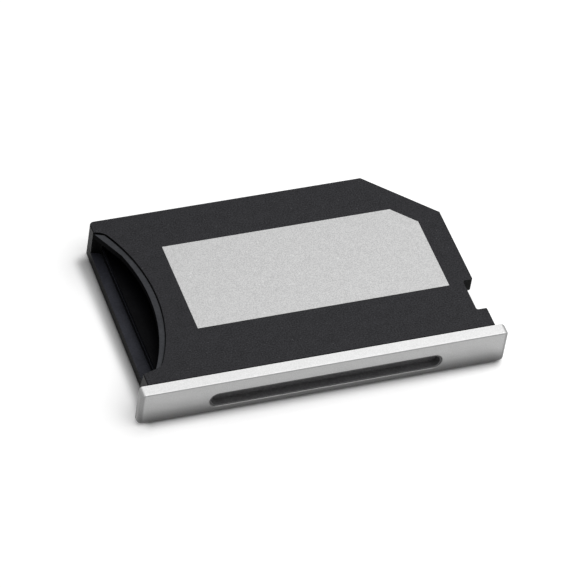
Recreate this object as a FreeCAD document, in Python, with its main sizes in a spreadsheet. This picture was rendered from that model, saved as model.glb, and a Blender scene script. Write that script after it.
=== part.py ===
import FreeCAD, Part
import math
import os
import Sketcher

# Passive adapter that carries a microSD card sideways in an SD-card slot.
# Millimetres. X runs along the face rail, Y away from it towards the SD contacts, Z up.
# The origin is under the middle of the whole adapter, on the surface it lies on.

doc = FreeCAD.newDocument("microsd_adapter")

# Driving sizes
driving = [
    ("case_width", 24.0, "SD-form case, side to side"),
    ("case_depth", 15.25, "case without the rail, front to back"),
    ("case_height", 2.9, "case and rail, top to bottom"),
    ("corner_cut", 4.3, "leg of the cut corner"),
    ("corner_round", 0.33, "upright corner edges"),
    ("edge_round", 0.08, "top edge of the lid"),
    ("side_flare", 0.25, "how far the left side leans out at the rail"),
    ("flange_width", 0.95, "width of the thin guide flange on the right"),
    ("flange_thickness", 1.07, "height of that flange"),
    ("notch_near", 1.63, "lock notch from the rail"),
    ("notch_length", 2.75, "lock notch along the side"),
    ("notch_depth", 0.76, "lock notch into the side"),
    ("notch_round", 0.15, "corners of the lock notch"),
    ("shadow_gap_width", 0.07, "groove between lid and rail"),
    ("shadow_gap_depth", 0.12, "groove between lid and rail"),
    ("lid_thickness", 0.36, "lid over the card"),
    ("near_wall", 0.8, "skirt wall at the rail"),
    ("far_wall", 1.03, "skirt wall at the contact end"),
    ("side_wall", 0.85, "skirt wall on the right"),
    ("tray_height", 0.9, "lower shell, also the finger rest's level"),
    ("tray_floor", 0.7, "floor of the lower shell"),
    ("rest_step_height", 0.35, "step behind the finger rest"),
    ("tray_round", 0.15, "bottom edge of the lower shell"),
    ("finger_rest", 0.69, "width of the finger rest"),
    ("board_thickness", 0.4, "circuit board"),
    ("board_gap", 0.06, "board to the shells"),
    ("card_width", 11.0, "microSD card"),
    ("card_length", 15.0, "microSD card"),
    ("card_inset", 0.5, "card's outer end from the left side"),
    ("card_offset", 2.5, "card's near edge from the rail"),
    ("card_play", 0.05, "card to its guides"),
    ("card_slot", 0.79, "height of the card's slot"),
    ("guide_roof", 0.2, "thickness of the guide's roof"),
    ("guide_wall", 0.8, "end wall of the guide"),
    ("guide_gap", 0.06, "guide to the shell's walls"),
    ("thumb_radius", 12.55, "thumb cut-out in the lid"),
    ("thumb_blend", 0.9, "blend at both ends of the cut-out"),
    ("rim_radius", 13.3, "open edge of the guide's rim in the cut-out"),
    ("rim_width", 0.415, "guide's rim along the cut-out"),
    ("rim_gap", 0.07, "rim to the lid's edge"),
    ("rim_drop", 0.12, "rim below the lid's top"),
    ("rim_end_gap", 0.13, "rim to the far pier"),
    ("rim_end_length", 2.2, "straight end of the rim's open edge"),
    ("wall_setback", 0.4, "guide's side walls behind the cut-out"),
    ("far_pier", 1.01, "far pier's length at the side"),
    ("far_lead", 1.23, "far pier's length where the arc starts"),
    ("near_pier", 1.04, "near pier's length at the side"),
    ("near_lead", 1.42, "near pier's length where the arc ends"),
    ("lead_width", 0.72, "piers from the left side to the arc"),
    ("ear_width", 0.7, "near pier's ear past the left side"),
    ("ear_slope_length", 0.4, "run of the ear's slope below the lid"),
    ("lip_width", 0.66, "carrier's lip over the step"),
    ("lip_thickness", 0.15, "carrier's lip"),
    ("lip_gap", 0.04, "lip and step to their neighbours"),
    ("bed_drop", 0.05, "card bed below the lip"),
    ("label_length", 18.07, "label, side to side"),
    ("label_width", 7.77, "label, front to back"),
    ("label_left", 4.14, "label from the left side"),
    ("label_near", 4.16, "label from the rail"),
    ("label_cut", 1.55, "leg of the label's cut corner"),
    ("label_thickness", 0.1, "label and its recess"),
    ("label_gap", 0.02, "label to its recess"),
    ("rail_length", 26.1, "face rail, side to side"),
    ("rail_depth", 0.9, "face rail, front to back"),
    ("rail_overhang", 0.67, "rail past the right side"),
    ("rail_top_round", 0.12, "rail's front top edge"),
    ("rail_bottom_round", 0.45, "rail's front bottom edge"),
    ("rail_end_round", 0.3, "rail's end edges"),
    ("slot_length", 16.54, "slot in the rail"),
    ("slot_height", 1.26, "slot in the rail"),
    ("slot_below_top", 1.0, "slot's upper edge from the top"),
    ("slot_shift", 0.13, "slot's middle from the rail's"),
    ("slot_round", 0.05, "slot's front edge"),
    ("insert_gap", 0.02, "insert to the slot"),
    ("insert_wall", 0.1, "insert's wall round the finger groove"),
    ("insert_recess", 0.06, "insert behind the rail's face"),
    ("groove_depth", 0.5, "finger groove"),
    ("sd_pitch", 2.5, "SD contacts one to seven"),
    ("sd_first", 5.6, "SD contact one from the right side"),
    ("sd_last_pitch", 1.5, "SD contact seven to eight"),
    ("pad_width", 1.5, "SD contact pad"),
    ("small_pad_width", 0.8, "SD contact pad eight"),
    ("pad_length", 3.2, "SD contact pad"),
    ("pad_thickness", 0.03, "SD contact pad"),
    ("pad_round", 0.2, "SD contact pad's corners"),
    ("pad_setback", 1.5, "pads from the contact end"),
    ("pad_nine_setback", 4.3, "pad nine from the contact end"),
    ("window_margin", 0.15, "window round a pad"),
    ("spring_pitch", 1.1, "card contacts"),
    ("spring_width", 0.4, "card contact"),
    ("spring_thickness", 0.1, "card contact"),
    ("spring_foot", 1.3, "foot on the board"),
    ("spring_rise_angle", 11.0, "rise to the crown, degrees"),
    ("spring_run", 3.3, "length of the rise"),
    ("spring_dip_angle", 20.0, "dip behind the crown, degrees"),
    ("spring_tip", 0.9, "length of the dip"),
    ("spring_bend", 0.35, "outer radius at the bends"),
    ("crown_setback", 1.9, "crown from the card's inner end"),
    ("spring_slot", 0.6, "slot in the carrier"),
    ("slot_overrun", 0.5, "slot past the spring's tip"),
    ("carrier_overrun", 1.4, "carrier past the card's inner end"),
]

sheet = doc.addObject("Spreadsheet::Sheet", "sizes")
for row, (alias, number, note) in enumerate(driving, start=1):
    sheet.set("A" + str(row), note)
    sheet.set("B" + str(row), str(number))
    sheet.setAlias("B" + str(row), alias)
doc.recompute()


class Size:
    """A length with the expression that gives it from the sheet."""

    def __init__(self, text, number):
        self.text = text
        self.number = number

    def join(self, sign, other, number):
        return Size("(" + self.text + " " + sign + " " + other.text + ")", number)

    def __add__(self, other):
        other = as_size(other)
        return self.join("+", other, self.number + other.number)

    def __sub__(self, other):
        other = as_size(other)
        return self.join("-", other, self.number - other.number)

    def __mul__(self, other):
        other = as_size(other)
        return self.join("*", other, self.number * other.number)

    def __truediv__(self, other):
        other = as_size(other)
        return self.join("/", other, self.number / other.number)

    def __neg__(self):
        return Size("(0 - " + self.text + ")", -self.number)


def as_size(value):
    if isinstance(value, Size):
        return value
    return Size(repr(value), float(value))


def size(alias):
    return Size("sizes." + alias, float(sheet.get(alias)))


def sin(angle):
    return Size("sin(" + angle.text + ")", math.sin(math.radians(angle.number)))


def cos(angle):
    return Size("cos(" + angle.text + ")", math.cos(math.radians(angle.number)))


def tan(angle):
    return Size("tan(" + angle.text + ")", math.tan(math.radians(angle.number)))


def sqrt(value):
    return Size("sqrt(" + value.text + ")", math.sqrt(value.number))


# Places that several pieces share
right = size("rail_length") / 2 - size("rail_overhang")
left = right - size("case_width")
near = (size("rail_depth") - size("case_depth")) / 2
far = near + size("case_depth")
front = near - size("rail_depth")
top = size("case_height")
inner_right = right - size("flange_width")
flange_under = top - size("flange_thickness")
lid_under = top - size("lid_thickness")
roof_under = lid_under - size("guide_roof")
lip_top = roof_under - size("card_slot")
bed_top = lip_top - size("bed_drop")
tray_top = size("tray_height")
board_under = size("tray_floor")
board_top = board_under + size("board_thickness")
step_face = left + size("finger_rest")
bed_left = step_face + size("lip_width")
card_near = near + size("card_offset")
card_far = card_near + size("card_width")
card_middle = card_near + size("card_width") / 2
card_stop = left + size("card_inset") + size("card_length")
cavity_near = near + size("near_wall")
cavity_far = far - size("far_wall")
cavity_right = inner_right - size("side_wall")
cavity_cut = size("corner_cut") - size("far_wall") / 2
thumb_low = near + size("near_lead")
thumb_high = far - size("far_lead")
thumb_y = (thumb_low + thumb_high) / 2
thumb_half = (thumb_high - thumb_low) / 2
lead_end = left + size("lead_width")
thumb_x = lead_end - sqrt(size("thumb_radius") * size("thumb_radius") - thumb_half * thumb_half)
thumb_reach = thumb_x + size("thumb_radius")
ear_left = left - size("ear_width")
slot_middle = top - size("slot_below_top") - size("slot_height") / 2

# Planes of a body, by the role of its origin feature
planes = {"XY": "XY_Plane", "XZ": "XZ_Plane", "YZ": "YZ_Plane"}

spring_count = 8
wide_pads = 7  # SD contacts one to seven, at one pitch
tolerance = 1e-4  # within which an edge counts as lying at a place


def new_body(name):
    body = doc.addObject("PartDesign::Body", name)
    body.Label = name
    return body


def new_sketch(body, name, plane, offset):
    sketch = body.newObject("Sketcher::SketchObject", name)
    for feature in body.Origin.OriginFeatures:
        if feature.Role == planes[plane]:
            sketch.AttachmentSupport = [(feature, "")]
    sketch.MapMode = "FlatFace"
    sketch.setExpression("AttachmentOffset.Base.z", offset.text)
    return sketch


def constrain(sketch, kind, *references, datum):
    index = sketch.addConstraint(Sketcher.Constraint(kind, *references, datum.number))
    sketch.setExpression("Constraints[" + str(index) + "]", datum.text)


def arc_between(start, end, radius):
    """Arc from start to end; a positive radius turns left, a negative one right."""
    chord = end - start
    half = chord.Length / 2
    side = FreeCAD.Vector(-chord.y, chord.x, 0).normalize()
    rise = math.sqrt(max(radius * radius - half * half, 0))
    centre = (start + end) / 2 + side * math.copysign(rise, radius)
    middle = centre - side * radius
    return Part.Arc(start, middle, end)


def outline(body, name, plane, offset, *loops):
    """Closed outlines. A corner is (x, y), with the radius of the arc that leaves it if it has one."""
    sketch = new_sketch(body, name, plane, offset)
    for corners in loops:
        add_loop(sketch, corners)
    return sketch


def add_loop(sketch, corners):
    first = sketch.GeometryCount
    count = len(corners)
    points = [FreeCAD.Vector(corner[0].number, corner[1].number, 0) for corner in corners]
    ends = []
    for index, corner in enumerate(corners):
        start = points[index]
        end = points[(index + 1) % count]
        if len(corner) == 2:
            sketch.addGeometry(Part.LineSegment(start, end), False)
        else:
            sketch.addGeometry(arc_between(start, end, corner[2].number), False)
        turned = len(corner) == 3 and corner[2].number < 0
        ends.append((2, 1) if turned else (1, 2))
    for index, corner in enumerate(corners):
        after = (index + 1) % count
        join = (first + index, ends[index][1], first + after, ends[after][0])
        sketch.addConstraint(Sketcher.Constraint("Coincident", *join))
        constrain(sketch, "DistanceX", -1, 1, first + index, ends[index][0], datum=corner[0])
        constrain(sketch, "DistanceY", -1, 1, first + index, ends[index][0], datum=corner[1])
    for index, corner in enumerate(corners):
        if len(corner) == 3:
            set_arc(sketch, first + index, corner, corners[(index + 1) % count])


def set_arc(sketch, index, corner, after):
    """A half circle gets its centre's place, because its radius alone leaves the solver at its limit."""
    radius = corner[2] if corner[2].number > 0 else -corner[2]
    rise = after[1] - corner[1]
    if abs(abs(rise.number) - 2 * radius.number) < tolerance:
        constrain(sketch, "DistanceX", -1, 1, index, 3, datum=(corner[0] + after[0]) / 2)
    else:
        constrain(sketch, "Radius", index, datum=radius)


def box_corners(low_x, low_y, high_x, high_y):
    return [(low_x, low_y), (high_x, low_y), (high_x, high_y), (low_x, high_y)]


def extrude(body, kind, sketch, length):
    before = body.Shape.Volume if body.Tip and not body.Shape.isNull() else 0
    feature = body.newObject("PartDesign::" + kind, sketch.Name + "_" + kind.lower())
    feature.Profile = sketch
    feature.setExpression("Length", length.text)
    doc.recompute()
    change = body.Shape.Volume - before
    if (kind == "Pad") != (change > 0) or abs(change) < tolerance * tolerance:
        raise RuntimeError(sketch.Name + " changed nothing or the wrong way")


def pad(body, sketch, length):
    extrude(body, "Pad", sketch, length)


def pocket(body, sketch, length):
    extrude(body, "Pocket", sketch, length)


def edges_where(shape, test):
    """Names of the edges whose two ends and middle all pass the test."""
    names = []
    for index, edge in enumerate(shape.Edges, start=1):
        middle = edge.valueAt((edge.FirstParameter + edge.LastParameter) / 2)
        spots = [vertex.Point for vertex in edge.Vertexes] + [middle]
        if all(test(spot) for spot in spots):
            names.append("Edge" + str(index))
    return names


def fillet(body, name, radius, test):
    base = body.Tip
    names = edges_where(base.Shape, test)
    feature = body.newObject("PartDesign::Fillet", name)
    feature.Base = (base, names)
    feature.setExpression("Radius", radius.text)
    doc.recompute()


def close(value, target):
    return abs(value - target.number) < tolerance


# Outlines that the shells share
def lid_outline():
    return [
        (left, near),
        (right, near),
        (right, far - size("corner_cut")),
        (right - size("corner_cut"), far),
        (left, far),
    ]


def skirt_outline():
    return [
        (left, near),
        (inner_right, near),
        (inner_right, far - size("corner_cut") + size("flange_width")),
        (right - size("corner_cut"), far),
        (left, far),
    ]


def cavity_outline(gap):
    return [
        (bed_left + gap, cavity_near + gap),
        (cavity_right - gap, cavity_near + gap),
        (cavity_right - gap, cavity_far - cavity_cut),
        (cavity_right - cavity_cut + gap, cavity_far - gap),
        (bed_left + gap, cavity_far - gap),
    ]


def make_bottom_tray():
    body = new_body("bottom_tray")
    floor = skirt_outline()
    floor[0] = (left - size("side_flare"), near)
    pad(body, outline(body, "tray_plate", "XY", as_size(0), floor), tray_top)
    fillet(body, "tray_corner", size("corner_round"), lambda p: close(p.x, left) and close(p.y, far))
    fillet(body, "tray_edges", size("tray_round"),
           lambda p: close(p.z, as_size(0)) and (close(p.y, far) or p.x < (left + size("corner_round")).number))
    pocket(body, outline(body, "board_recess", "XY", tray_top, cavity_outline(as_size(0))), tray_top - board_under)
    step = box_corners(step_face, cavity_near, bed_left - size("lip_gap"), cavity_far)
    pad(body, outline(body, "rest_step", "XY", tray_top, step), size("rest_step_height"))
    windows = outline(body, "contact_windows", "XY", board_under, *contact_windows())
    pocket(body, windows, board_under)


def pad_places():
    """Left and right sides and far end of each SD contact pad."""
    first = right - size("sd_first")
    last = first - size("sd_pitch") * (wide_pads - 1)
    half = size("pad_width") / 2
    half_small = size("small_pad_width") / 2
    places = []
    for step in range(wide_pads):
        middle = first - size("sd_pitch") * step
        places.append((middle - half, middle + half, far - size("pad_setback")))
    eighth = last - size("sd_last_pitch")
    places.append((eighth - half_small, eighth + half_small, far - size("pad_setback")))
    ninth = first + size("sd_pitch")
    places.append((ninth - half, ninth + half, far - size("pad_nine_setback")))
    return places


def contact_windows():
    """One open-ended window a pad, but one for pads seven and eight together."""
    margin = size("window_margin")
    *single, seventh, eighth, ninth = pad_places()
    shared = (eighth[0], seventh[1], seventh[2])
    windows = []
    for low_x, high_x, high_y in single + [shared, ninth]:
        low_y = high_y - size("pad_length") - margin
        windows.append(box_corners(low_x - margin, low_y, high_x + margin, far + margin))
    return windows


def make_sd_pads():
    for number, (low_x, high_x, high_y) in enumerate(pad_places(), start=1):
        body = new_body("sd_pad_" + str(number))
        corners = box_corners(low_x, high_y - size("pad_length"), high_x, high_y)
        face = outline(body, "pad_face_" + str(number), "XY", board_under - size("pad_thickness"), corners)
        pad(body, face, size("pad_thickness"))
        fillet(body, "pad_corners_" + str(number), size("pad_round"), is_upright(body))


def is_upright(body):
    """Test for the points of a body's upright edges: its corners seen from above."""
    spots = [(edge.Vertexes[0].Point.x, edge.Vertexes[0].Point.y) for edge in body.Tip.Shape.Edges
             if 1 - abs(edge.tangentAt(edge.FirstParameter).z) < tolerance]
    return lambda p: any(abs(p.x - x) < tolerance and abs(p.y - y) < tolerance for x, y in spots)


def make_top_cover():
    body = new_body("top_cover")
    skirt = skirt_outline()
    pad(body, outline(body, "skirt", "XY", tray_top, skirt), flange_under - tray_top)
    lid = lid_outline()
    lid[0] = (ear_left, near)
    lid.append((left, thumb_low))
    lid.append((ear_left, thumb_low))
    pad(body, outline(body, "lid", "XY", flange_under, lid), top - flange_under)
    fillet(body, "cover_corner", size("corner_round"), lambda p: close(p.x, left) and close(p.y, far))
    cut_line = right + far - size("corner_cut")
    fillet(body, "lid_edges", size("edge_round"),
           lambda p: close(p.z, top) and (close(p.x, right) or close(p.y, far) or close(p.x + p.y, cut_line)
                                          or close(p.x, left) or close(p.x, ear_left)))
    add_lock_notch(body)
    add_thumb_cut(body)
    add_ear(body)
    cavity = [(step_face, cavity_near)] + cavity_outline(as_size(0))[1:4] + [(step_face, cavity_far)]
    pocket(body, outline(body, "cavity", "XY", lid_under, cavity), lid_under - tray_top)
    pocket(body, outline(body, "label_recess", "XY", top, label_outline(as_size(0))), size("label_thickness"))
    groove = box_corners(ear_left, near, right, near + size("shadow_gap_width"))
    pocket(body, outline(body, "shadow_gap", "XY", top, groove), size("shadow_gap_depth"))


def add_lock_notch(body):
    low_y = near + size("notch_near")
    high_y = low_y + size("notch_length")
    inner = right - size("notch_depth")
    radius = size("notch_round")
    notch = [
        (right + radius, low_y - radius),
        (right, low_y - radius, radius),
        (right - radius, low_y),
        (inner + radius, low_y, -radius),
        (inner, low_y + radius),
        (inner, high_y - radius, -radius),
        (inner + radius, high_y),
        (right - radius, high_y, radius),
        (right, high_y + radius),
        (right + radius, high_y + radius),
    ]
    pocket(body, outline(body, "lock_notch", "XY", top, notch), top - flange_under)


def near_lead_y(x):
    """Y at which the near pier's top meets the cut-out, before the arc starts."""
    slope = (size("near_lead") - size("near_pier")) / (size("lead_width") + size("ear_width"))
    return thumb_low + slope * (x - lead_end)


def far_lead_y(x):
    slope = (size("far_lead") - size("far_pier")) / size("lead_width")
    return thumb_high - slope * (x - lead_end)


def add_thumb_cut(body):
    out = ear_left - size("ear_width")
    cut = [
        (lead_end, thumb_high),
        (out, far_lead_y(out)),
        (out, near_lead_y(out)),
        (lead_end, thumb_low, size("thumb_radius")),
    ]
    pocket(body, outline(body, "thumb_cut", "XY", top, cut), top - tray_top)
    fillet(body, "thumb_blend", size("thumb_blend"),
           lambda p: close(p.x, lead_end) and (close(p.y, thumb_low) or close(p.y, thumb_high)))


def add_ear(body):
    """The near pier widens into an ear beside the rail, whose far face slopes down to the finger rest."""
    slope = [
        (near, tray_top),
        (near + size("near_pier") + size("ear_slope_length"), tray_top),
        (near + size("near_pier"), lid_under),
        (near, lid_under),
    ]
    pad(body, outline(body, "ear_slope", "YZ", ear_left, slope), step_face - ear_left)


def label_outline(gap):
    low_x = left + size("label_left") + gap
    high_x = left + size("label_left") + size("label_length") - gap
    low_y = near + size("label_near") + gap
    high_y = near + size("label_near") + size("label_width") - gap
    return [
        (low_x, low_y),
        (high_x, low_y),
        (high_x, high_y - size("label_cut")),
        (high_x - size("label_cut"), high_y),
        (low_x, high_y),
    ]


def make_label():
    body = new_body("label")
    corners = label_outline(size("label_gap"))
    pad(body, outline(body, "label_face", "XY", top - size("label_thickness"), corners), size("label_thickness"))


def make_card_guide():
    body = new_body("card_guide")
    gap = size("guide_gap")
    low_y = cavity_near + gap
    high_y = cavity_far - gap
    end = card_stop + size("guide_wall")
    wall_left = thumb_reach + size("wall_setback")
    near_wall = box_corners(wall_left, low_y, card_stop, card_near - size("card_play"))
    far_wall = box_corners(wall_left, card_far + size("card_play"), card_stop, high_y)
    end_wall = box_corners(card_stop, low_y, end, high_y)
    pad(body, outline(body, "guide_end", "XY", bed_top, end_wall), roof_under - bed_top)
    pad(body, outline(body, "guide_sides", "XY", bed_top, near_wall, far_wall), roof_under - bed_top)
    rim_high = thumb_high - size("rim_end_gap")
    bend_y = thumb_high - size("rim_end_length")
    tip_x = left + size("rim_gap")
    tip_y = far_lead_y(tip_x) - size("rim_gap")
    rim_low = near_lead_y(open_edge(thumb_low)) + size("rim_gap")
    lid_side_low = near_lead_y(lid_side_edge(thumb_low)) + size("rim_end_gap")
    roof = [
        (end, low_y),
        (end, high_y),
        (bed_left, high_y),
        (bed_left, rim_high),
        (lid_side_edge(rim_high), rim_high),
        (tip_x, tip_y),
        (open_edge(bend_y), bend_y, -size("rim_radius")),
        (open_edge(rim_low), rim_low),
        (lid_side_edge(lid_side_low), lid_side_low),
        (bed_left, lid_side_low),
        (bed_left, low_y),
    ]
    pad(body, outline(body, "guide_roof", "XY", roof_under, roof), lid_under - roof_under)
    rim = [
        (tip_x, tip_y),
        (open_edge(bend_y), bend_y, -size("rim_radius")),
        (open_edge(rim_low), rim_low),
        (lid_side_edge(lid_side_low), lid_side_low, size("thumb_radius") - size("rim_gap")),
        (lid_side_edge(rim_high), rim_high),
    ]
    pad(body, outline(body, "guide_rim", "XY", lid_under, rim), top - size("rim_drop") - lid_under)


def arc_x(middle_x, radius, y):
    """X of an arc of the cut-out at that y, on the side away from its centre."""
    rise = y - thumb_y
    return middle_x + sqrt(radius * radius - rise * rise)


def lid_side_edge(y):
    return arc_x(thumb_x, size("thumb_radius") - size("rim_gap"), y)


def open_edge(y):
    reach = thumb_reach - size("rim_gap") - size("rim_width")
    return arc_x(reach - size("rim_radius"), size("rim_radius"), y)


def make_contact_carrier():
    body = new_body("contact_carrier")
    gap = size("guide_gap")
    low_y = cavity_near + gap
    high_y = cavity_far - gap
    end = card_stop + size("carrier_overrun")
    bed = box_corners(bed_left, low_y, end, high_y)
    pad(body, outline(body, "card_bed", "XY", board_top, bed), bed_top - board_top)
    lip = box_corners(step_face + size("lip_gap"), low_y, bed_left, high_y)
    pad(body, outline(body, "bed_lip", "XY", lip_top - size("lip_thickness"), lip), size("lip_thickness"))
    slots = []
    slot_left = card_stop - size("crown_setback") - size("spring_tip") - size("slot_overrun")
    for number in range(1, spring_count + 1):
        middle = spring_middle(number)
        half = size("spring_slot") / 2
        slots.append(box_corners(slot_left, middle - half, end + gap, middle + half))
    pocket(body, outline(body, "spring_slots", "XY", bed_top, *slots), bed_top - board_top)


def make_circuit_board():
    body = new_body("circuit_board")
    corners = cavity_outline(size("board_gap"))
    pad(body, outline(body, "board_plate", "XY", board_under, corners), size("board_thickness"))


def spring_profile():
    """Side view of one card contact: foot on the board, rise, crown and dip."""
    rise = size("spring_rise_angle")
    dip = size("spring_dip_angle")
    thick = size("spring_thickness")
    crown_x = card_stop - size("crown_setback")
    bend_x = crown_x + size("spring_run") * cos(rise)
    foot_x = bend_x + size("spring_foot")
    crown_z = board_top + size("spring_run") * sin(rise)
    tip_x = crown_x - size("spring_tip") * cos(dip)
    tip_z = crown_z - size("spring_tip") * sin(dip)
    half = tan(rise / 2)
    spread = thick / (as_size(1) + cos(rise + dip))
    return [
        (foot_x, board_top),
        (foot_x, board_top + thick),
        (bend_x + thick * half, board_top + thick),
        (crown_x + spread * (sin(rise) - sin(dip)), crown_z + spread * (cos(rise) + cos(dip))),
        (tip_x - thick * sin(dip), tip_z + thick * cos(dip)),
        (tip_x, tip_z),
        (crown_x, crown_z),
        (bend_x, board_top),
    ]


def spring_middle(number):
    return card_middle + size("spring_pitch") * (number - (spring_count + 1) / 2)


def make_contact_springs():
    profile = spring_profile()
    inner_bend, outer_crown, inner_crown, outer_bend = profile[2], profile[3], profile[6], profile[7]
    for number in range(1, spring_count + 1):
        body = new_body("contact_spring_" + str(number))
        side = -(spring_middle(number) + size("spring_width") / 2)
        pad(body, outline(body, "spring_side_" + str(number), "XZ", side, profile), size("spring_width"))
        fillet(body, "outer_bends_" + str(number), size("spring_bend"), is_at(outer_crown, outer_bend))
        fillet(body, "inner_bends_" + str(number), size("spring_bend") - size("spring_thickness"),
               is_at(inner_crown, inner_bend))


def is_at(*corners):
    return lambda p: any(close(p.x, corner[0]) and close(p.z, corner[1]) for corner in corners)


def make_face_rail():
    body = new_body("face_rail")
    half = size("rail_length") / 2
    section = [
        (front, size("rail_bottom_round")),
        (front, top - size("rail_top_round"), -size("rail_top_round")),
        (front + size("rail_top_round"), top),
        (near, top),
        (near, as_size(0)),
        (front + size("rail_bottom_round"), as_size(0), -size("rail_bottom_round")),
    ]
    pad(body, outline(body, "rail_section", "YZ", -half, section), size("rail_length"))
    fillet(body, "rail_ends", size("rail_end_round"), lambda p: close(abs(p.x), half))
    pocket(body, outline(body, "finger_slot", "XZ", -front, stadium(as_size(0))), size("rail_depth"))
    reach = (size("slot_length") / 2).number + tolerance
    fillet(body, "slot_edge", size("slot_round"),
           lambda p: close(p.y, front) and abs(p.x - size("slot_shift").number) < reach)


def stadium(inset):
    """Slot outline seen from the front, drawn smaller by the inset."""
    half_length = (size("slot_length") - size("slot_height")) / 2
    radius = size("slot_height") / 2 - inset
    low_x = size("slot_shift") - half_length
    high_x = size("slot_shift") + half_length
    return [
        (low_x, slot_middle - radius),
        (high_x, slot_middle - radius, radius),
        (high_x, slot_middle + radius),
        (low_x, slot_middle + radius, radius),
    ]


def make_slot_insert():
    body = new_body("slot_insert")
    face = front + size("insert_recess")
    pad(body, outline(body, "insert_cup", "XZ", -near, stadium(size("insert_gap"))), near - face)
    groove = stadium(size("insert_gap") + size("insert_wall"))
    pocket(body, outline(body, "finger_groove", "XZ", -face, groove), size("groove_depth"))


make_bottom_tray()
make_circuit_board()
make_sd_pads()
make_contact_carrier()
make_contact_springs()
make_card_guide()
make_top_cover()
make_label()
make_face_rail()
make_slot_insert()

doc.recompute()

for item in doc.Objects:
    if "Invalid" in item.State or "Error" in item.State:
        raise RuntimeError(item.Name + " failed")
bodies = [item for item in doc.Objects if item.TypeId == "PartDesign::Body"]
for body in bodies:
    if body.Shape.isNull() or not body.Shape.isValid():
        raise RuntimeError(body.Label + " has no valid shape")

os.makedirs("parts", exist_ok=True)
for body in bodies:
    body.Shape.exportStep("parts/" + body.Label + ".step")
    print(body.Label, round(body.Shape.Volume, 4), len(body.Shape.Solids))
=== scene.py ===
import math
import bmesh
import bpy
from mathutils import Matrix, Vector

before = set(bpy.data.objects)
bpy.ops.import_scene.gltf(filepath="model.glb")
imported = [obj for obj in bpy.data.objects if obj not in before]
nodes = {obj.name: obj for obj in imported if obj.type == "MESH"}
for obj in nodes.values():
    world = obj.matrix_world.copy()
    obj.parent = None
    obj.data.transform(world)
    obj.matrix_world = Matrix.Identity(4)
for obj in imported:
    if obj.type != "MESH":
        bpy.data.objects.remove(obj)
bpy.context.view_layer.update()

print("frame loaded,", len(nodes), "nodes")


# Small helpers
def mm(value):
    return value / 1000


def linear(hexColour):
    channels = [int(hexColour[place:place + 2], 16) / 255 for place in (1, 3, 5)]
    return [c / 12.92 if c <= 0.04045 else ((c + 0.055) / 1.055) ** 2.4 for c in channels] + [1]


def perMetre(millimetres):  # pattern scale for a detail of that real size
    return 1000 / millimetres


def addNode(tree, kind, settings=None, links=None):
    node = tree.nodes.new(kind)
    for name, value in (settings or {}).items():
        if isinstance(name, str) and hasattr(node, name):
            setattr(node, name, value)
        else:
            node.inputs[name].default_value = value
    for name, source in (links or {}).items():
        tree.links.new(source, node.inputs[name])
    return node


def newMaterial(name):
    material = bpy.data.materials.new(name)
    material.use_nodes = True
    material.node_tree.nodes.clear()
    return material, material.node_tree


def finishMaterial(tree, shader):
    addNode(tree, "ShaderNodeOutputMaterial", links={"Surface": shader.outputs[0]})


def dress(nodeName, material):
    piece = nodes[nodeName]
    piece.data.materials.clear()
    piece.data.materials.append(material)


# The grain's noise keeps mostly between these two values, so its shades and its polish run
# from the one to the other
noiseLow = 0.35
noiseHigh = 0.65

# Shares of a face's normal that tell flats, sides, ends and rounded edges apart
normalLimits = {
    "flatFrom": 0.8, "sideFrom": 0.9, "sideTo": 0.98, "edgeFrom": 0.25, "edgeTo": 0.5, "endTo": 0.3,
}


# Grain of a moulded or blasted face: fine and broad noise for its height and shade,
# and scattered specks where a grain stands a little higher and paler
def addGrain(tree, look):
    place = addNode(tree, "ShaderNodeTexCoord")
    fine = addNode(tree, "ShaderNodeTexNoise",
                   {"Scale": perMetre(look["grainMm"]), "Detail": 2.0, "Roughness": 0.6},
                   {"Vector": place.outputs["Object"]})
    broad = addNode(tree, "ShaderNodeTexNoise",
                    {"Scale": perMetre(look["patchMm"]), "Detail": 2.0, "Roughness": 0.5},
                    {"Vector": place.outputs["Object"]})
    both = addNode(tree, "ShaderNodeMix", {"data_type": "FLOAT", 0: look["patchShare"]},
                   {2: fine.outputs[0], 3: broad.outputs[0]})
    spots = addNode(tree, "ShaderNodeTexVoronoi", {"Scale": perMetre(look["speckApartMm"])},
                    {"Vector": place.outputs["Object"]})
    speck = addNode(tree, "ShaderNodeMapRange",
                    {"From Min": look["speckMm"] / look["speckApartMm"], "From Max": 0.0},
                    {"Value": spots.outputs["Distance"]})
    return place, fine.outputs[0], both.outputs[0], speck.outputs[0]


def addColour(tree, look, shade, speck):
    ramp = addNode(tree, "ShaderNodeValToRGB", links={"Fac": shade})
    low, high = ramp.color_ramp.elements
    low.position = noiseLow
    high.position = noiseHigh
    low.color = linear(look["darkHex"])
    high.color = linear(look["lightHex"])
    return addNode(tree, "ShaderNodeMix", {"data_type": "RGBA", 7: linear(look["speckHex"])},
                   {0: speck, 6: ramp.outputs[0]}).outputs[2]


# A crowned face leans in towards its foot: its height falls off with the square of the drop
def addCrown(tree, look, place):
    parts = addNode(tree, "ShaderNodeSeparateXYZ", links={0: place.outputs["Object"]})
    drop = addNode(tree, "ShaderNodeMapRange",
                   {"From Min": mm(look["crownTopMm"]), "From Max": 0.0,
                    "To Max": look["crownTopMm"]},
                   {"Value": parts.outputs["Z"]})
    square = addNode(tree, "ShaderNodeMath", {"operation": "MULTIPLY"},
                     {0: drop.outputs[0], 1: drop.outputs[0]})
    return addNode(tree, "ShaderNodeMath", {"operation": "MULTIPLY", 1: -look["crownPerMm"]},
                   {0: square.outputs[0]}).outputs[0]


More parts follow.
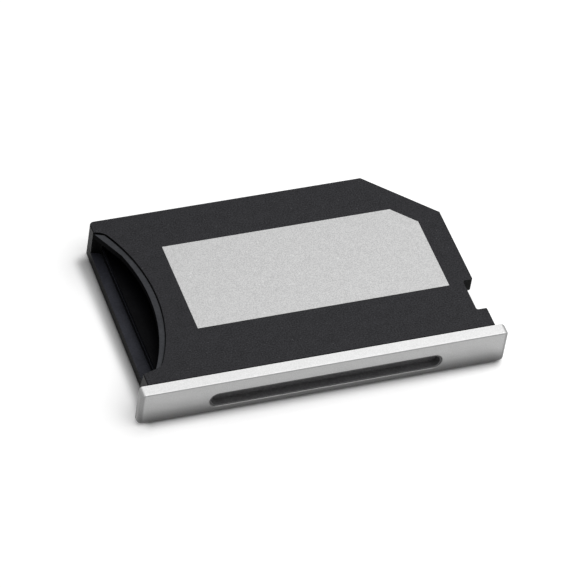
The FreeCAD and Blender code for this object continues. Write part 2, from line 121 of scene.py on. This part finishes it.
# Painted shade: the front is drawn a shade darker than the top, and darker still towards its foot,
# which turns in over its own shadow
def addPaintedFootShade(tree, look, place, colour):
    parts = addNode(tree, "ShaderNodeSeparateXYZ", links={0: place.outputs["Object"]})
    facing = addNode(tree, "ShaderNodeSeparateXYZ", links={0: place.outputs["Normal"]})
    low = addNode(tree, "ShaderNodeMapRange",
                  {"interpolation_type": "SMOOTHSTEP",
                   "From Min": mm(look["footShadeTopMm"]), "From Max": mm(look["footShadeFullMm"]),
                   "To Min": look["frontShadeShare"], "To Max": look["footShadeShare"]},
                  {"Value": parts.outputs["Z"]})
    front = addNode(tree, "ShaderNodeMapRange", {"From Max": -1.0}, {"Value": facing.outputs["Y"]})
    shadeShare = addNode(tree, "ShaderNodeMath", {"operation": "MULTIPLY"},
                    {0: low.outputs[0], 1: front.outputs[0]})
    return addNode(tree, "ShaderNodeMix", {"data_type": "RGBA", 7: linear(look["footShadeHex"])},
                   {0: shadeShare.outputs[0], 6: colour}).outputs[2]


# Painted shade: rounded edges, where the face is turning, and the two ends are drawn in a darker
# colour of their own
def addPaintedEdgeShade(tree, look, place, colour):
    size = addNode(tree, "ShaderNodeVectorMath", {"operation": "ABSOLUTE"},
                   {0: place.outputs["Normal"]})
    parts = addNode(tree, "ShaderNodeSeparateXYZ", links={0: size.outputs[0]})
    turning = addNode(tree, "ShaderNodeMath", {"operation": "MULTIPLY"},
                      {0: parts.outputs["Y"], 1: parts.outputs["Z"]})
    edge = addNode(tree, "ShaderNodeMapRange",
                   {"From Min": normalLimits["edgeFrom"], "From Max": normalLimits["edgeTo"],
                    "To Max": look["edgeShadeShare"]},
                   {"Value": turning.outputs[0]})
    end = addNode(tree, "ShaderNodeMapRange",
                  {"From Max": normalLimits["endTo"], "To Max": look["endShadeShare"]},
                  {"Value": parts.outputs["X"]})
    shadeShare = addNode(tree, "ShaderNodeMath", {"operation": "MAXIMUM"},
                    {0: edge.outputs[0], 1: end.outputs[0]})
    return addNode(tree, "ShaderNodeMix", {"data_type": "RGBA", 7: linear(look["edgeShadeHex"])},
                   {0: shadeShare.outputs[0], 6: colour}).outputs[2]


# Walls and slopes drawn near black as painted shade, the two sides paler as painted light where
# the piece has a colour for them, and only the flats in the grain's colour
def addPaintedWallShade(tree, look, place, colour):
    size = addNode(tree, "ShaderNodeVectorMath", {"operation": "ABSOLUTE"},
                   {0: place.outputs["Normal"]})
    parts = addNode(tree, "ShaderNodeSeparateXYZ", links={0: size.outputs[0]})
    flat = addNode(tree, "ShaderNodeMapRange", {"From Min": normalLimits["flatFrom"]},
                   {"Value": parts.outputs["Z"]})
    side = addNode(tree, "ShaderNodeMapRange",
                   {"From Min": normalLimits["sideFrom"], "From Max": normalLimits["sideTo"]},
                   {"Value": parts.outputs["X"]})
    wallShadeHex = look["wallShadeHex"]
    wall = addNode(tree, "ShaderNodeMix",
                   {"data_type": "RGBA", 6: linear(wallShadeHex), 7: linear(look.get("sideLightHex", wallShadeHex))},
                   {0: side.outputs[0]})
    return addNode(tree, "ShaderNodeMix", {"data_type": "RGBA"},
                   {0: flat.outputs[0], 6: wall.outputs[2], 7: colour}).outputs[2]


def grainMaterial(name, look):
    material, tree = newMaterial(name)
    place, height, shade, speck = addGrain(tree, look)
    colour = addColour(tree, look, shade, speck)
    # Walls and slopes drawn near black as painted shade, and sides paler as painted light
    if "wallShadeHex" in look:
        colour = addPaintedWallShade(tree, look, place, colour)
    # Painted shade on the rounded edges, the ends, the front and its foot
    if "edgeShadeHex" in look:
        colour = addPaintedFootShade(tree, look, place, addPaintedEdgeShade(tree, look, place, colour))
    polish = addNode(tree, "ShaderNodeMapRange",
                     {"From Min": noiseLow, "From Max": noiseHigh,
                      "To Min": look["roughness"] + look["roughnessSpread"],
                      "To Max": look["roughness"] - look["roughnessSpread"]},
                     {"Value": shade})
    relief = addNode(tree, "ShaderNodeMath", {"operation": "MULTIPLY", 1: look["depthMm"]},
                     {0: height})
    if "crownTopMm" in look:
        relief = addNode(tree, "ShaderNodeMath", {"operation": "ADD"},
                         {0: relief.outputs[0], 1: addCrown(tree, look, place)})
    bump = addNode(tree, "ShaderNodeBump", {"Strength": 1.0, "Distance": mm(1)},
                   {"Height": relief.outputs[0]})
    shader = addNode(tree, "ShaderNodeBsdfPrincipled",
                     {"Metallic": look["metallic"], "Specular IOR Level": look["specular"]},
                     {"Base Color": colour, "Roughness": polish.outputs[0],
                      "Normal": bump.outputs[0]})
    if "ior" in look:
        shader.inputs["IOR"].default_value = look["ior"]
    finishMaterial(tree, shader)
    return material


# Case: black PC/ABS, moulded against a spark-eroded steel face, so its flats are matt with a fine
# even grain. Its walls are drawn near black as painted shade, and its two sides paler as painted
# light. The real grain is near 0.05 mm, which is finer than the render shows, so it is drawn twice as
# coarse.
case = {
    "darkHex": "#1d1d1f", "lightHex": "#353538", "wallShadeHex": "#030303", "sideLightHex": "#2b2b2c",
    "speckHex": "#4a4a4c", "speckApartMm": 0.5, "speckMm": 0.06,
    "grainMm": 0.1, "patchMm": 0.7, "patchShare": 0.15, "depthMm": 0.006,
    "roughness": 0.48, "roughnessSpread": 0.06, "metallic": 0.0, "specular": 0.055, "ior": 1.55,
}
dress("top_cover", grainMaterial("sparkGrainedPcAbs", case))

# Tray: the same plastic from a plain ground tool, smoother than the lid. Its walls are drawn near
# black as painted shade, so its flats come out a shade paler and bluer than them.
tray = {
    "darkHex": "#2a2b31", "lightHex": "#35363d", "wallShadeHex": "#070708",
    "speckHex": "#3f4046", "speckApartMm": 1.4, "speckMm": 0.08,
    "grainMm": 0.14, "patchMm": 1.2, "patchShare": 0.4, "depthMm": 0.001,
    "roughness": 0.42, "roughnessSpread": 0.04, "metallic": 0.0, "specular": 0.04, "ior": 1.55,
}
dress("bottom_tray", grainMaterial("groundToolPcAbs", tray))

# Card guide: dark matt nylon, drawn a shade lighter than the case as painted sheen, so its rim shows
# as a band, and its walls near black as painted shade
guide = {
    "darkHex": "#393a3d", "lightHex": "#46474a", "wallShadeHex": "#060607",
    "speckHex": "#4e4f52", "speckApartMm": 1.6, "speckMm": 0.08,
    "grainMm": 0.2, "patchMm": 1.5, "patchShare": 0.5, "depthMm": 0.001,
    "roughness": 0.5, "roughnessSpread": 0.04, "metallic": 0.0, "specular": 0.01, "ior": 1.53,
}
dress("card_guide", grainMaterial("darkNylonPaintedSheen", guide))

# Contact carrier: black liquid-crystal polymer, nearly without a sheen, with faint flow marks, its
# black drawn deeper still as painted shade inside the card pocket
carrier = {
    "darkHex": "#020203", "lightHex": "#060608",
    "speckHex": "#0c0c0e", "speckApartMm": 1.6, "speckMm": 0.08,
    "grainMm": 0.25, "patchMm": 1.2, "patchShare": 0.5, "depthMm": 0.001,
    "roughness": 0.5, "roughnessSpread": 0.05, "metallic": 0.0, "specular": 0.02, "ior": 1.6,
}
dress("contact_carrier", grainMaterial("blackCarrierPolymer", carrier))

# Label: thin aluminium plate, sand-blasted and clear-coated, an even grey with a fine sparkle
label = {
    "darkHex": "#999999", "lightHex": "#adadad",
    "speckHex": "#bcbcbc", "speckApartMm": 0.8, "speckMm": 0.08,
    "grainMm": 0.08, "patchMm": 0.6, "patchShare": 0.1, "depthMm": 0.0016,
    "roughness": 0.6, "roughnessSpread": 0.03, "metallic": 1.0, "specular": 0.5,
}
dress("label", grainMaterial("sandBlastedAluminium", label))

# Face rail: extruded aluminium with a slightly crowned front, bead-blasted and clear-anodised, silky.
# Its soft edges, its ends and its front, most of all towards its foot, are drawn darker as painted
# shade
rail = {
    "darkHex": "#aeaeae", "lightHex": "#bababa",
    "speckHex": "#c6c6c6", "speckApartMm": 0.9, "speckMm": 0.08,
    "grainMm": 0.08, "patchMm": 0.8, "patchShare": 0.15, "depthMm": 0.0012,
    "roughness": 0.52, "roughnessSpread": 0.03, "metallic": 1.0, "specular": 0.5,
    "crownTopMm": 2.3, "crownPerMm": 0.15,
    # Painted shade on the edges and ends, and on the front and its foot
    "edgeShadeHex": "#6c6c6c", "edgeShadeShare": 0.7, "endShadeShare": 0.6,
    "footShadeHex": "#5a5a5a", "frontShadeShare": 0.12, "footShadeShare": 0.86, "footShadeTopMm": 1.4, "footShadeFullMm": 0.2,
}
dress("face_rail", grainMaterial("beadBlastedAluminium", rail))

# Slot insert: black PC/ABS with a satin face, drawn lighter than the case as painted light inside the
# slot
insert = {
    "darkHex": "#4a4a4b", "lightHex": "#5c5c5d",
    "speckHex": "#6a6a6b", "speckApartMm": 1.2, "speckMm": 0.08,
    "grainMm": 0.14, "patchMm": 0.8, "patchShare": 0.3, "depthMm": 0.003,
    "roughness": 0.5, "roughnessSpread": 0.05, "metallic": 0.0, "specular": 0.3, "ior": 1.55,
}
dress("slot_insert", grainMaterial("satinPcAbs", insert))
print("case, tray, guide, carrier, label, rail and insert dressed")

# Circuit board: glass-epoxy laminate under black solder mask, glossy with a trace of the weave
board = {
    "darkHex": "#0d1410", "lightHex": "#131c17",
    "speckHex": "#1b241f", "speckApartMm": 1.0, "speckMm": 0.08,
    "grainMm": 0.4, "patchMm": 1.5, "patchShare": 0.4, "depthMm": 0.003,
    "roughness": 0.3, "roughnessSpread": 0.05, "metallic": 0.0, "specular": 0.5, "ior": 1.5,
}
dress("circuit_board", grainMaterial("solderMaskedLaminate", board))

# Contacts: gold flash over nickel, smooth with faint rolling marks
contact = {
    "darkHex": "#dcae52", "lightHex": "#f0c874",
    "speckHex": "#f4d48c", "speckApartMm": 0.7, "speckMm": 0.06,
    "grainMm": 0.1, "patchMm": 0.6, "patchShare": 0.4, "depthMm": 0.001,
    "roughness": 0.28, "roughnessSpread": 0.05, "metallic": 1.0, "specular": 0.5,
}
goldPlate = grainMaterial("goldFlashOnNickel", contact)
for nodeName in sorted(nodes):
    if nodeName.startswith(("contact_spring_", "sd_pad_")):
        dress(nodeName, goldPlate)
print("board and contacts dressed")

# Floor: white paper sweep, lit by the lamps and topped up to white where a ray sees it directly.
# Close to the adapter the top-up fades out and the paper is drawn greyer, as a painted contact
# shadow.
sweep = {
    "farHex": "#f8f8f8", "paintedShadowHex": "#dfdfdf", "lift": 0.28,
    "lowMm": (-12.0, -7.8), "highMm": (12.3, 7.0), "cutMm": 11.0,
    "shadowFromMm": 0.15, "shadowToMm": 0.75, "liftFromMm": 0.05, "liftToMm": 1.05,
    "halfWidthMm": 1500.0, "belowMm": 0.02, "cells": 8,
}


def seenDirectly(tree):
    path = addNode(tree, "ShaderNodeLightPath")
    first = addNode(tree, "ShaderNodeMath", {"operation": "MAXIMUM"},
                    {0: path.outputs["Is Camera Ray"], 1: path.outputs["Is Glossy Ray"]})
    return addNode(tree, "ShaderNodeMath", {"operation": "MAXIMUM"},
                   {0: first.outputs[0], 1: path.outputs["Is Transmission Ray"]})


# Distance on the floor from the adapter's footprint, a rectangle with its far right corner cut
# at 45 degrees. Half its height is a whole metre, so only X and Y count.
def addDistance(tree):
    low, high = sweep["lowMm"], sweep["highMm"]
    middle = [mm((a + b) / 2) for a, b in zip(low, high)] + [0]
    half = [mm((b - a) / 2) for a, b in zip(low, high)] + [1]
    place = addNode(tree, "ShaderNodeTexCoord")
    offset = addNode(tree, "ShaderNodeVectorMath", {"operation": "SUBTRACT", 1: middle},
                     {0: place.outputs["Object"]})
    size = addNode(tree, "ShaderNodeVectorMath", {"operation": "ABSOLUTE"}, {0: offset.outputs[0]})
    past = addNode(tree, "ShaderNodeVectorMath", {"operation": "SUBTRACT", 1: half},
                   {0: size.outputs[0]})
    outside = addNode(tree, "ShaderNodeVectorMath", {"operation": "MAXIMUM"}, {0: past.outputs[0]})
    box = addNode(tree, "ShaderNodeVectorMath", {"operation": "LENGTH"}, {0: outside.outputs[0]})
    slant = math.sqrt(0.5)
    diagonal = addNode(tree, "ShaderNodeVectorMath",
                       {"operation": "DOT_PRODUCT", 1: (slant, slant, 0)},
                       {0: place.outputs["Object"]})
    pastCut = addNode(tree, "ShaderNodeMath", {"operation": "SUBTRACT", 1: mm(sweep["cutMm"])},
                      {0: diagonal.outputs["Value"]})
    return addNode(tree, "ShaderNodeMath", {"operation": "MAXIMUM"},
                   {0: box.outputs["Value"], 1: pastCut.outputs[0]}).outputs[0]


def paperMaterial():
    material, tree = newMaterial("whitePaper")
    distance = addDistance(tree)
    # Painted contact shadow: the paper greys towards the footprint
    away = addNode(tree, "ShaderNodeMapRange",
                   {"interpolation_type": "SMOOTHSTEP",
                    "From Min": mm(sweep["shadowFromMm"]), "From Max": mm(sweep["shadowToMm"])},
                   {"Value": distance})
    colour = addNode(tree, "ShaderNodeMix",
                     {"data_type": "RGBA", 6: linear(sweep["paintedShadowHex"]), 7: linear(sweep["farHex"])},
                     {0: away.outputs[0]})
    paper = addNode(tree, "ShaderNodeBsdfDiffuse", links={"Color": colour.outputs[2]})
    # The top-up to white fades out towards the footprint, which deepens the painted contact shadow
    rise = addNode(tree, "ShaderNodeMapRange",
                   {"interpolation_type": "SMOOTHSTEP",
                    "From Min": mm(sweep["liftFromMm"]), "From Max": mm(sweep["liftToMm"]),
                    "To Max": sweep["lift"]},
                   {"Value": distance})
    lift = addNode(tree, "ShaderNodeMath", {"operation": "MULTIPLY"},
                   {0: seenDirectly(tree).outputs[0], 1: rise.outputs[0]})
    glow = addNode(tree, "ShaderNodeEmission", {"Color": linear("#ffffff")},
                   {"Strength": lift.outputs[0]})
    both = addNode(tree, "ShaderNodeAddShader", links={0: paper.outputs[0], 1: glow.outputs[0]})
    finishMaterial(tree, both)
    return material


def makeFloor():
    mesh = bpy.data.meshes.new("paper_sweep")
    form = bmesh.new()
    bmesh.ops.create_grid(form, x_segments=sweep["cells"], y_segments=sweep["cells"],
                          size=mm(sweep["halfWidthMm"]),
                          matrix=Matrix.Translation((0, 0, -mm(sweep["belowMm"]))))
    form.to_mesh(mesh)
    form.free()
    floor = bpy.data.objects.new("paper_sweep", mesh)
    bpy.context.scene.collection.objects.link(floor)
    floor.data.materials.append(paperMaterial())


makeFloor()

# Light: one wide round softbox, high on the right, and a pale room
studio = {
    "keyTurn": -3.0, "keyRise": 66.0, "keyAwayMm": 160.0, "keyWideMm": 260.0, "keyWatts": 0.335,
    "roomLight": 0.2, "roomSeen": 1.0,
}


def makeKey():
    turn, rise = (math.radians(studio[name]) for name in ("keyTurn", "keyRise"))
    towards = Vector((math.cos(rise) * math.cos(turn), math.cos(rise) * math.sin(turn),
                      math.sin(rise)))
    key = bpy.data.objects.new("key_softbox", bpy.data.lights.new("key_softbox", "AREA"))
    key.data.shape = "DISK"
    key.data.size = mm(studio["keyWideMm"])
    key.data.energy = studio["keyWatts"]
    key.rotation_mode = "QUATERNION"
    key.rotation_quaternion = towards.to_track_quat("Z", "Y")
    key.location = towards * mm(studio["keyAwayMm"])
    key.visible_camera = False
    bpy.context.scene.collection.objects.link(key)


def makeRoom():
    world = bpy.data.worlds.new("pale_room")
    world.use_nodes = True
    tree = world.node_tree
    tree.nodes.clear()
    strength = addNode(tree, "ShaderNodeMapRange",
                       {"To Min": studio["roomLight"], "To Max": studio["roomSeen"]},
                       {"Value": seenDirectly(tree).outputs[0]})
    room = addNode(tree, "ShaderNodeBackground", {"Color": linear("#ffffff")},
                   {"Strength": strength.outputs[0]})
    addNode(tree, "ShaderNodeOutputWorld", links={"Surface": room.outputs[0]})
    bpy.context.scene.world = world


makeKey()
makeRoom()
print("floor and lights made")

# Camera: a long lens from the front left, turned a little about its own axis
shot = {
    "azimuth": -26.117, "rise": 45.763, "roll": 9.678,
    "aimMm": (-0.093, -1.424, 2.9), "distanceMm": 330.358, "lens": 300.733, "sensor": 36.0,
    "clipMm": (10.0, 10000.0),
}


def makeCamera():
    azimuth, rise, roll = (math.radians(shot[name]) for name in ("azimuth", "rise", "roll"))
    back = Vector((math.sin(azimuth) * math.cos(rise), -math.cos(azimuth) * math.cos(rise),
                   math.sin(rise)))
    right = (-back).cross(Vector((0, 0, 1))).normalized()
    up = right.cross(-back)
    turnedRight = math.cos(roll) * right + math.sin(roll) * up
    turnedUp = -math.sin(roll) * right + math.cos(roll) * up
    axes = Matrix((turnedRight, turnedUp, back)).transposed()
    camera = bpy.data.objects.new("camera", bpy.data.cameras.new("camera"))
    camera.matrix_world = axes.to_4x4()
    camera.location = Vector([mm(value) for value in shot["aimMm"]]) + back * mm(shot["distanceMm"])
    camera.data.lens = shot["lens"]
    camera.data.sensor_width = shot["sensor"]
    camera.data.clip_start, camera.data.clip_end = (mm(value) for value in shot["clipMm"])
    bpy.context.scene.collection.objects.link(camera)
    bpy.context.scene.camera = camera


makeCamera()
bpy.context.scene.view_settings.view_transform = "Standard"
print("camera made")
